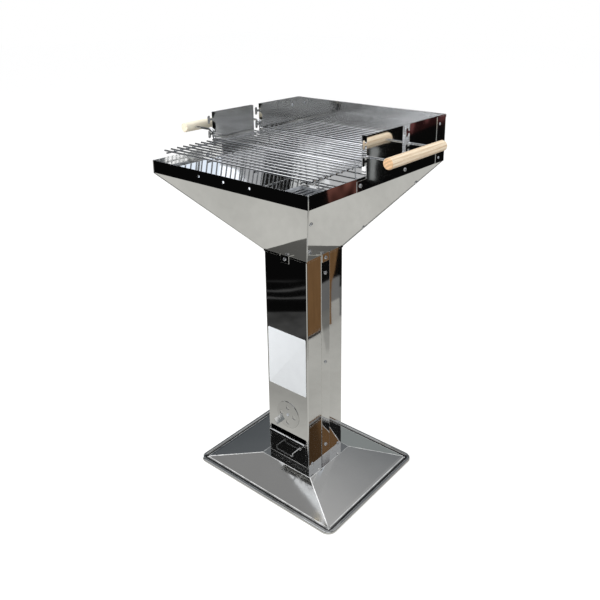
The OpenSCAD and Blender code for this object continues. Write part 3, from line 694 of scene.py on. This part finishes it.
def screw_shank(length):
    """Threaded shank from inside the head downwards, closed at both ends."""
    s = bpy.context.scene.grill_sizes
    alone()
    bpy.ops.mesh.primitive_circle_add(vertices=20, radius=s.shank / 2, location=(0, 0, INTO_HEAD),
                                      fill_type="NOTHING")
    shank = close(bpy.context.object)
    z, out = 0.0, True
    pick(shank, lambda e: True, "EDGE")
    while z > -length:
        bpy.ops.mesh.extrude_region_move(TRANSFORM_OT_translate={"value": (0, 0, -PITCH / 2)})
        k = ROOT if out else 1 / ROOT
        bpy.ops.transform.resize(value=(k, k, 1))
        z, out = z - PITCH / 2, not out
    bpy.ops.mesh.edge_face_add()
    pick(shank, lambda e: e.is_boundary, "EDGE")
    bpy.ops.mesh.edge_face_add()
    outward()
    return close(shank)


def nut_master():
    """Hexagon nut with rounded corners and a bore; its bearing face at z = 0, body below."""
    alone()
    bpy.ops.mesh.primitive_cylinder_add(vertices=6, radius=NUT_ACROSS / 2 / math.cos(math.pi / 6),
                                        depth=NUT_HIGH, location=(0, 0, -NUT_HIGH / 2))
    nut = close(bpy.context.object)
    bpy.ops.mesh.primitive_cone_add(vertices=48, radius1=NUT_ACROSS * 0.5,
                                    radius2=NUT_ACROSS * 0.5 + NUT_HIGH * NUT_CHAMFER,
                                    depth=NUT_HIGH, location=(0, 0, -NUT_HIGH / 2))
    cone = close(bpy.context.object)
    bpy.ops.mesh.primitive_cylinder_add(vertices=24, radius=NUT_BORE / 2, depth=NUT_HIGH * 3)
    drill = close(bpy.context.object)
    boolean(nut, cone, "INTERSECT")
    boolean(nut, drill, "DIFFERENCE")
    # the booleans leave slivers
    pick(nut, lambda v: True, "VERT")
    bpy.ops.mesh.remove_doubles(threshold=0.00002)
    bpy.ops.mesh.dissolve_degenerate(threshold=0.00002)
    return close(nut)


class GRILL_OT_screws(bpy.types.Operator):
    """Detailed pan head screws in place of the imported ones"""

    bl_idname = "grill.screws"
    bl_label = "Screws"

    def execute(self, context):
        s = context.scene.grill_sizes
        zinc = bpy.data.materials["zinc_steel"]
        for name, length in SCREWS.items():
            master = joined([screw_head(), screw_shank(length)], "screw")
            parts = []
            for i, corners in enumerate(islands(name)):
                middle, axis = screw_axis(corners, s.head)
                # the head's corners are those far from the axis
                head = [c - middle for c in corners if off_axis(c - middle, axis) > s.head * 0.45]
                axis = axis if sum(ray.dot(axis) for ray in head) > 0 else -axis
                seat = min(ray.dot(axis) for ray in head)
                # each recess stands at its own angle
                place = turned_to(axis, middle + axis * seat, 0.5 + 0.9 * i)
                parts.append(copy_to(master, place, name + "_%d" % i))
            bpy.data.objects.remove(master)
            piece = joined(parts, name + "_detailed")
            dress(piece, zinc)
            smoothed(piece, 40)
            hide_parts(name)
            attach(piece, "stand")
        return {"FINISHED"}


class GRILL_OT_nuts(bpy.types.Operator):
    """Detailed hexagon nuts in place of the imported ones"""

    bl_idname = "grill.nuts"
    bl_label = "Nuts"

    def execute(self, context):
        zinc = bpy.data.materials["zinc_steel"]
        for name, bolts in NUTS.items():
            ends = [centre(g) for g in islands(bolts)]
            master = nut_master()
            parts = []
            for i, corners in enumerate(islands(name)):
                middle, axis = screw_axis(corners, NUT_ACROSS / math.cos(math.pi / 6))
                head = min(ends, key=lambda e: (e - middle).length)
                axis = axis if (head - middle).dot(axis) > 0 else -axis
                face = max((c - middle).dot(axis) for c in corners)
                place = turned_to(axis, middle + axis * face)
                parts.append(copy_to(master, place, name + "_%d" % i))
            bpy.data.objects.remove(master)
            piece = joined(parts, name + "_detailed")
            dress(piece, zinc)
            smoothed(piece, 30)
            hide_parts(name)
            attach(piece, "stand")
        return {"FINISHED"}


class GRILL_OT_label_plate(bpy.types.Operator):
    """Bare white plate on the front of the column"""

    bl_idname = "grill.label_plate"
    bl_label = "Label plate"

    def execute(self, context):
        s = context.scene.grill_sizes
        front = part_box("column_front_shell")[0].y
        alone()
        place = (0, front - s.plate_thick / 2, s.plate_middle)
        bpy.ops.mesh.primitive_cube_add(size=1, location=place)
        plate = context.object
        plate.scale = (s.plate_width, s.plate_thick, s.plate_height)
        close(plate)
        # rounded corners, then a soft edge
        pick(plate, lambda e: abs(e.verts[0].co.y - e.verts[1].co.y) > s.plate_thick / 2, "EDGE")
        bpy.ops.mesh.bevel(offset=LABEL_CORNER, segments=6, affect="EDGES")
        pick(plate, lambda f: f.normal.y < -0.9)
        bpy.ops.mesh.inset(thickness=s.plate_thick * 0.5)
        bpy.ops.transform.translate(value=(0, -s.plate_thick * 0.15, 0))
        close(plate)
        plate.name = plate.data.name = "label_plate"
        dress(plate, label_white())
        smoothed(plate, 50)
        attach(plate, "stand")
        return {"FINISHED"}


class GRILL_OT_corner_folds(bpy.types.Operator):
    """Rounded folds along the funnel's four corners"""

    bl_idname = "grill.corner_folds"
    bl_label = "Corner folds"

    def execute(self, context):
        s = context.scene.grill_sizes
        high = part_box("funnel_right")[1]
        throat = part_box("column_rear_shell")[1]
        # from the throat up the slope, then up the band
        start = (throat.x + SHEET, throat.y + SHEET, throat.z)
        bend = (high.x, high.y, high.z - s.band)
        end = (high.x, high.y, high.z - 0.0002)
        for name, sx, sy in (("fold_front_right", 1, -1), ("fold_front_left", -1, -1),
                             ("fold_rear_right", 1, 1), ("fold_rear_left", -1, 1)):
            way = [Vector((sx * x, sy * y, z)) - Vector((sx, sy, 0)) * s.fold * 0.5
                   for x, y, z in (start, bend, end)]
            alone()
            tilt = Vector((0, 0, 1)).rotation_difference(way[1] - way[0]).to_euler()
            bpy.ops.mesh.primitive_circle_add(vertices=16, radius=s.fold, fill_type="NGON",
                                              location=way[0], rotation=tilt)
            piece = close(context.object)
            pick(piece, lambda f: True)
            for a, b in zip(way, way[1:]):
                bpy.ops.mesh.extrude_region_move(TRANSFORM_OT_translate={"value": b - a})
            # rounded upper end
            bpy.ops.mesh.inset(thickness=s.fold * 0.3)
            bpy.ops.transform.translate(value=(0, 0, s.fold * 0.15))
            outward()
            close(piece)
            piece.name = piece.data.name = name
            dress(piece, bpy.data.materials["funnel_front_steel"])
            smoothed(piece, 50)
            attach(piece, "stand")
        return {"FINISHED"}


class GRILL_OT_rod_welds(bpy.types.Operator):
    """Small weld beads where the grate rods lie on the cross wires"""

    bl_idname = "grill.rod_welds"
    bl_label = "Rod welds"

    def execute(self, context):
        s = context.scene.grill_sizes
        rods = [centre(g) for g in islands("grate_rods")]
        wires = [centre(g) for g in islands("grate_cross_wires")]
        meet = (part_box("grate_rods")[0].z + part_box("grate_cross_wires")[1].z) / 2
        alone()
        bpy.ops.mesh.primitive_uv_sphere_add(segments=8, ring_count=5, radius=s.weld / 2)
        bead = context.object
        bead.scale = (1.0, 1.0, WELD_HIGH)
        close(bead)
        # the upper half is drawn along one side, as a spot weld is
        pick(bead, lambda v: v.co.z > 0.0001, "VERT")
        bpy.ops.transform.resize(value=WELD_TOP)
        close(bead)
        # no two neighbours stand at the same angle
        parts = []
        for i, wire in enumerate(wires):
            for j, rod in enumerate(rods):
                spin = Matrix.Rotation(0.7 * (i + j), 4, "Z")
                parts.append(copy_to(bead, Matrix.Translation((wire.x, rod.y, meet)) @ spin))
        bpy.data.objects.remove(bead)
        piece = joined(parts, "rod_welds")
        dress(piece, bpy.data.materials["chrome_wire"])
        alone(piece)
        bpy.ops.object.shade_smooth()
        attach(piece, "grill")
        return {"FINISHED"}


class GRILL_OT_finishes(bpy.types.Operator):
    """Steel, chrome, zinc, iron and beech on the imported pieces"""

    bl_idname = "grill.finishes"
    bl_label = "Finishes"

    def execute(self, context):
        for i, name in enumerate(STEEL_PIECES):
            dress_node(name, polished_sheet(name, i + 1))
        wire, zinc = chromed_wire(), zinc_plate()
        for name in WIRE_PIECES:
            dress_node(name, wire)
        # the drawer's handle: painted shade at 0.32 over most of it, and a painted highlight in
        # white at its right end
        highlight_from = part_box("ash_drawer_handle")[1].x - HANDLE_END
        dress_node("ash_drawer_handle", chromed_wire("drawer_wire", 0.32, highlight_from))
        for name in ZINC_PIECES:
            dress_node(name, zinc)
        dress_node("charcoal_grate", rolled_iron())
        dress_node("handle_left", beech("handle_left", -1))
        dress_node("handle_right", beech("handle_right", 1))
        return {"FINISHED"}


# ---- studio

# dark spots of the floor in twice mirrored rays: middle, half widths, brightness left
FLOOR_SPOTS = ((-0.53, -0.30, 0.17, 0.10, 0.33), (0.27, 0.70, 0.10, 0.19, 0.28))

# lamps: name, place, what they aim at, width, share of the key light's power
LAMPS = (
    ("key", (-1.6, -2.4, 3.0), (0, 0, 0.6), 1.6, 3),
    ("left", (-2.4, -1.2, 1.3), (-0.3, 0, 0.92), 1.2, 0.8),
    ("side", (2.6, -0.6, 2.2), (0, 0, 0.7), 1.4, 1),
)

# the photograph's camera as fitted: bearing from the front, height and roll in degrees,
# what it looks at and how far that is
BEARING, HEIGHT, ROLL = 38.879, 17.491, -0.16
AIM, DISTANCE = (0.0604, 0, 0.762), 1.659
# in pixels: the picture's side, the focal length, and where the lens's axis meets the picture
PICTURE, FOCAL, AXIS_X, AXIS_Y = 600, 679.4, 322, 205
FILM = 36  # width in millimetres


def floor_shown(r, twice):
    """Colour of the floor in mirrors: lit round the barbecue, dark and bounded beyond."""
    tone = bpy.context.scene.grill_studio.floor_tone
    at = r.place()
    x, y = r.split(at)[:2]
    wob = (r.noise(at, 2.2, 2.0) - 0.5) * 0.10
    ahead = x * 0.624 + y * 0.781
    left, back = r.range(x, 0.15, -0.05), r.range(y, 0.0, 0.2)
    # borders of the lit floor: in front of it, on its right, on its left
    near = r.range(y + wob * 0.5, -0.66, -0.61).math("MAXIMUM", 1.0 - left)
    right = r.range(x + wob * 0.3, 0.712, 0.70).math("MAXIMUM", r.range(y, -0.1, -0.3))
    lit = right * near * r.range(x, -1.75, -1.45)
    # shades on it: the front left, the rear right, the spots, patches, beside the base
    dim = 1.0 - r.range(y, -0.12, -0.34) * left * 0.36
    dim = dim * (1.0 - r.range(x, 0.18, 0.34) * back * 0.16)
    for cx, cy, rx, ry, keep in FLOOR_SPOTS:
        ring = ((x - cx) / rx) ** 2.0 + ((y - cy) / ry) ** 2.0
        dim = dim * (1.0 - r.range(ring + wob * 3.0, 1.25, 0.75) * (1.0 - keep) * twice)
    patchy = r.range(r.noise(at, 1.9, 1.0, 0.4), 0.3, 0.7, 0.86, 1.08)
    beside = r.range(y - x * 1.3236, -0.017, -0.010)
    beside = beside * r.range(x, 0.40, 0.43) * r.range(x, 0.63, 0.61)
    dim = dim * (1.0 - beside * r.range(x, 0.50, 0.52, 0.24, 0.60))
    dim = dim * patchy * (1.0 - r.range(x, 0.57, 0.60) * back * 0.12)
    # the dark floor: cloudy in front, grey behind on the right, pale arcs far in front
    cloud = r.range(r.noise(at, 7.0, 3.0, 0.55), 0.3, 0.7, 0.5, 1.35)
    grey = r.range(ahead + wob * 0.06, -1.034, -1.026) * r.range(x, 0.3, 0.2) * cloud * 0.055
    behind = r.range(x + wob * 0.3, 0.86, 0.845) * r.range(x, 0.3, 0.4) * r.range(y, -0.1, 0.1)
    grey = grey + behind * 0.16 + 0.003
    arcs = r.node("TexWave", {"bands_direction": "Y"}, {
        "Vector": r.stretch(at, turn=(0, 0, 0.7)), "Scale": 3.4, "Distortion": 6.0,
        "Detail": 2.0, "Detail Scale": 0.9}, out=1)
    far = r.range(ahead, -1.36, -1.28) * r.range(ahead, -1.12, -1.14)
    grey = grey + r.range(arcs, 0.72, 0.98) * 0.055 * far
    soil = r.range(r.noise(at, 26.0, 5.0, 0.6), 0.3, 0.7)
    pale = r.dimmed(r.mix(soil, toned(tone, 0.96), toned(tone, 1.04)), dim)
    dark = r.node("CombineColor", None, {0: grey, 1: grey, 2: grey})
    return r.mix(lit, dark, pale)


def lay_floor():
    """Floor: white to the eye with the barbecue's shadow, toned in mirrors."""
    alone()
    bpy.ops.mesh.primitive_plane_add(size=30, location=(0, 0, -0.0004))
    floor = close(bpy.context.object)
    floor.name = "floor"
    mat, r = material("floor")
    camera, glossy, mirrors = r.rays()
    shown = r.glow(floor_shown(r, mirrors > 1.5))
    matt = r.node("BsdfDiffuse", None, {"Color": (0.42, 0.42, 0.42)})
    white = r.node("AddShader", None, {0: matt, 1: r.glow((1, 1, 1), 0.66)})
    plain = r.node("BsdfDiffuse", None, {"Color": (0.40, 0.39, 0.37)})
    r.finish(r.mix_shader(camera, r.mix_shader(glossy, plain, shown), white))
    dress(floor, mat)


def surroundings():
    """World: plain light on matt pieces, a room in mirrors, white to the eye."""
    st = bpy.context.scene.grill_studio
    world = bpy.data.worlds.new("studio")
    bpy.context.scene.world = world
    world.use_nodes = True
    r = Recipe(world.node_tree)
    camera, glossy = r.rays()[:2]
    way = r.node("TexCoord", out="Generated")
    x, y, z = r.split(way)
    z = z + (r.noise(way, 2.6, 2.0) - 0.5) * 0.07
    x = x + (r.noise(way, 2.1, 1.0) - 0.5) * 0.06
    # behind: dark and low, pale further up
    low_back = r.mix(r.range(x, -0.74, -0.52), (0.045, 0.053, 0.060), (0.25, 0.27, 0.27))
    low_back = r.mix(r.range(x, -0.15, 0.1), low_back, (0.01, 0.01, 0.01))
    mid_back = r.mix(r.range(x, -0.1, 0.25), (0.15, 0.16, 0.17), (0.42, 0.43, 0.45))
    back = r.mix(r.range(z, 0.26, 0.42), low_back, mid_back)
    # in front: dark with one gleam low on the left, pale high up
    gleam = r.range(x, -0.68, -0.76) * r.range(y, -0.66, -0.6) * r.range(y, -0.3, -0.36)
    gleam = gleam * r.range(z, 0.06, 0.1) * r.range(z, 0.34, 0.28)
    front = r.mix(gleam, (0.008, 0.008, 0.008), (1.1, 1.12, 1.15))
    front = r.mix(r.range(z, 0.655, 0.70), front, (0.85, 0.87, 0.9))
    sides = r.mix(r.range(y, -0.12, 0.12), front, back)
    # above: the ceiling behind, a pale one in front, and a lamp overhead
    top = r.mix(r.range(y, 0.2, 0.5), (st.ceiling,) * 3, (st.ceiling * 1.75,) * 3)
    top = r.mix(r.range(y, -0.05, -0.18), top, (0.85, 0.87, 0.9))
    top = r.mix(r.range(z, 0.925, 0.97), top, (1.1, 1.13, 1.18))
    room = r.mix(r.range(z, 0.70, 0.79), sides, top)
    room = r.mix(r.range(z, 0.0, 0.03), (0.006, 0.006, 0.006), room)
    room = r.node("Background", None, {"Color": room, "Strength": 1.0})
    around = r.mix(r.range(z, -0.2, 0.9), (0.42, 0.43, 0.45), (1.25, 1.25, 1.25))
    around = r.node("Background", None, {"Color": around, "Strength": st.fill})
    seen = r.node("Background", None, {"Color": (1, 1, 1), "Strength": 1.0})
    r.finish(r.mix_shader(camera, r.mix_shader(glossy, around, room), seen), "OutputWorld")


def card(name, corners, colour, strength=1.0, part=None):
    """Flat card that only the steel shows; part gives its brightness from place to place."""
    mesh = bpy.data.meshes.new(name)
    mesh.from_pydata(corners, [], [tuple(range(len(corners)))])
    obj = bpy.data.objects.new(name, mesh)
    bpy.context.scene.collection.objects.link(obj)
    mat, r = material(name)
    cloud = r.noise(r.place(), 6.0, 3.0)
    shade = r.mix(r.range(cloud, 0.3, 0.7), toned(colour, 0.88), toned(colour))
    if part is not None:
        shade = r.dimmed(shade, part(r, r.place()))
    r.finish(r.glow(shade, strength))
    dress(obj, mat)
    obj.visible_camera = obj.visible_diffuse = obj.visible_shadow = False
    obj.visible_transmission = obj.visible_volume_scatter = False


# brightness of a card from place to place


def board_grain(r, at):
    """Grain along the board, dim on its left part."""
    grain = r.noise(r.stretch(at, (1, 9, 1)), 9.0, 3.0)
    return r.range(r.split(at)[1], 0.46, 0.49, 0.42, 1.0) * r.range(grain, 0.3, 0.7, 0.82, 1.12)


def dark_above(r, at):
    """Dark from the middle up."""
    return r.range(r.split(at)[2], 0.132, 0.126, 0.03, 1.0)


def dim_hole(r, at):
    """An oval dim patch."""
    x, y = r.split(at)[:2]
    return r.range(((x + 0.40) / 0.13) ** 2.0 + ((y + 0.03) / 0.16) ** 2.0, 0.7, 1.2, 0.3, 1.0)


def folds(r, at):
    """Folds of cloth, upright."""
    cloth = r.stretch(at, (1, 1.0, 0.6))
    return r.range(r.noise(cloth, 13.0, 1.0, 0.4), 0.36, 0.50, 0.15, 1.0)


def slanting_folds(r, at):
    """Folds of cloth, slanting."""
    cloth = r.stretch(at, (1, 1.4, 0.5), turn=(0.7, 0, 0))
    return r.range(r.noise(cloth, 12.0, 1.0, 0.4), 0.50, 0.58, 0.12, 1.0)


def hang_cards():
    """What the steel shows: a brown carton, lights, windows, a dim wall and a dark red curtain."""
    st = bpy.context.scene.grill_studio
    card("carton", [(0.585, 0.22, 0.012), (0.57, 0.6635, 0.012), (0.57, 0.6635, 0.145),
                    (0.57, 0.668, 0.19), (0.57, 0.687, 0.236), (0.57, 0.699, 0.288),
                    (0.57, 0.706, 0.32), (0.57, 0.706, 0.46), (0.585, 0.22, 0.46)],
         st.carton, part=board_grain)
    card("carton_foot", [(0.584, 0.22, 0.0), (0.569, 0.645, 0.0), (0.569, 0.645, 0.012),
                         (0.584, 0.22, 0.012)], (0.01, 0.01, 0.01))
    card("carton_side", [(0.6, 0.755, 0.0), (0.6, 0.88, 0.0), (0.6, 0.88, 0.27),
                         (0.6, 0.755, 0.27)], (0.14, 0.14, 0.14), part=dark_above)
    card("lug_light", [(1.7, -2.05, 0.9), (2.5, -1.65, 0.9), (2.5, -1.65, 1.6), (1.7, -2.05, 1.6)],
         (1.0, 1.0, 1.0), 1.2)
    card("strip_light", [(-0.50, -0.42, 1.3), (-0.10, -0.42, 1.3), (-0.10, 0.25, 1.3),
                         (-0.50, 0.25, 1.3)], (1.0, 1.01, 1.04), st.strip, dim_hole)
    card("window_left", [(0.565, 1.2, 2.19), (0.515, 1.2, 1.95), (0.60, 1.2, 1.80),
                         (0.72, 1.2, 2.25)], (0.93, 0.97, 1.05), 1.6)
    card("window_right", [(0.36, 1.2, 1.38), (0.44, 1.2, 1.38), (0.45, 1.2, 1.55),
                          (0.37, 1.2, 1.56)], (0.7, 0.76, 0.85))
    card("wall", [(0.7, -1.7, 0.35), (2.6, -0.9, 0.35), (2.6, -0.9, 1.15), (0.7, -1.7, 1.15)],
         (0.30, 0.32, 0.33))
    card("pale_strip", [(0.8, 0.751, 0.722), (0.8, 0.80, 0.714), (0.8, 0.807, 0.694),
                        (0.8, 0.786, 0.649), (0.8, 0.781, 0.592), (0.8, 0.749, 0.599)],
         (0.26, 0.27, 0.27))
    card("sky_corner", [(0.34, 0.80, 2.0), (0.70, 0.80, 2.0), (0.70, 1.12, 2.0), (0.34, 1.12, 2.0)],
         (0.88, 0.97, 1.1), 1.2)
    card("window_hips", [(-2.45, 0.6, 1.3), (-2.45, 1.15, 1.3), (-2.45, 1.15, 1.9),
                         (-2.45, 0.6, 1.9)], (1.0, 1.02, 1.05), 2.5)
    card("curtain", [(0.60, 0.275, 0.60), (0.60, 0.40, 0.60), (0.60, 0.39, 0.735),
                     (0.60, 0.245, 0.72)], (0.17, 0.066, 0.052), part=folds)
    card("curtain_far", [(0.60, 0.66, 0.80), (0.60, 0.96, 0.82), (0.60, 0.96, 0.92),
                         (0.60, 0.70, 0.90)], (0.14, 0.05, 0.05), part=slanting_folds)


def hang_lamps():
    """Lamps on the matt pieces; the steel doesn't show them."""
    key = bpy.context.scene.grill_studio.key
    for name, place, aim, width, share in LAMPS:
        data = bpy.data.lights.new(name, "AREA")
        data.shape, data.size, data.energy = "SQUARE", width, key * share
        obj = bpy.data.objects.new(name, data)
        bpy.context.scene.collection.objects.link(obj)
        obj.location = place
        obj.rotation_euler = (Vector(aim) - Vector(place)).to_track_quat("-Z", "Y").to_euler()
        obj.visible_glossy = False
        obj.visible_camera = False


def set_camera():
    """Camera of the photograph; colours are shown as they are."""
    scene = bpy.context.scene
    data = bpy.data.cameras.new("camera")
    cam = bpy.data.objects.new("camera", data)
    scene.collection.objects.link(cam)
    a, e = math.radians(BEARING), math.radians(HEIGHT)
    back = Vector((math.sin(a) * math.cos(e), -math.cos(a) * math.cos(e), math.sin(e)))
    turn = (-back).to_track_quat("-Z", "Y").to_matrix()
    cam.location = Vector(AIM) + back * DISTANCE
    cam.rotation_euler = (turn @ Matrix.Rotation(math.radians(ROLL), 3, "Z")).to_euler()
    data.sensor_width, data.lens = FILM, FOCAL * FILM / PICTURE
    data.shift_x = (PICTURE / 2 - AXIS_X) / PICTURE
    data.shift_y = (AXIS_Y - PICTURE / 2) / PICTURE
    data.clip_end = 100
    data.dof.use_dof = False
    scene.camera = cam
    scene.view_settings.view_transform = "Standard"


class GRILL_OT_studio(bpy.types.Operator):
    """Pale floor, surroundings for the steel, lamps and camera"""

    bl_idname = "grill.studio"
    bl_label = "Studio"

    def execute(self, context):
        lay_floor()
        surroundings()
        hang_cards()
        hang_lamps()
        set_camera()
        return {"FINISHED"}


class GRILL_PT_panel(bpy.types.Panel):
    """Settings and steps in the sidebar"""

    bl_label = "Pillar barbecue"
    bl_idname = "GRILL_PT_panel"
    bl_space_type = "VIEW_3D"
    bl_region_type = "UI"
    bl_category = "Barbecue"

    def draw(self, context):
        scene = context.scene
        column = self.layout.column()
        for group in (scene.grill_sizes, scene.grill_finishes, scene.grill_studio):
            box = column.box()
            for key in group.__annotations__:
                box.prop(group, key)
        for op in OPERATORS:
            column.operator(op.bl_idname)


OPERATORS = (GRILL_OT_studio, GRILL_OT_finishes, GRILL_OT_screws, GRILL_OT_nuts,
             GRILL_OT_label_plate, GRILL_OT_corner_folds, GRILL_OT_rod_welds)
CLASSES = (Finishes, Sizes, Studio) + OPERATORS + (GRILL_PT_panel,)


def register():
    for c in CLASSES:
        bpy.utils.register_class(c)
    bpy.types.Scene.grill_finishes = PointerProperty(type=Finishes)
    bpy.types.Scene.grill_sizes = PointerProperty(type=Sizes)
    bpy.types.Scene.grill_studio = PointerProperty(type=Studio)


def unregister():
    for key in ("grill_finishes", "grill_sizes", "grill_studio"):
        delattr(bpy.types.Scene, key)
    for c in reversed(CLASSES):
        bpy.utils.unregister_class(c)


def main():
    register()
    alone()
    bpy.ops.grill.studio()
    bpy.ops.grill.finishes()
    bpy.ops.grill.screws()
    bpy.ops.grill.nuts()
    bpy.ops.grill.label_plate()
    bpy.ops.grill.corner_folds()
    bpy.ops.grill.rod_welds()


if __name__ == "__main__":
    main()
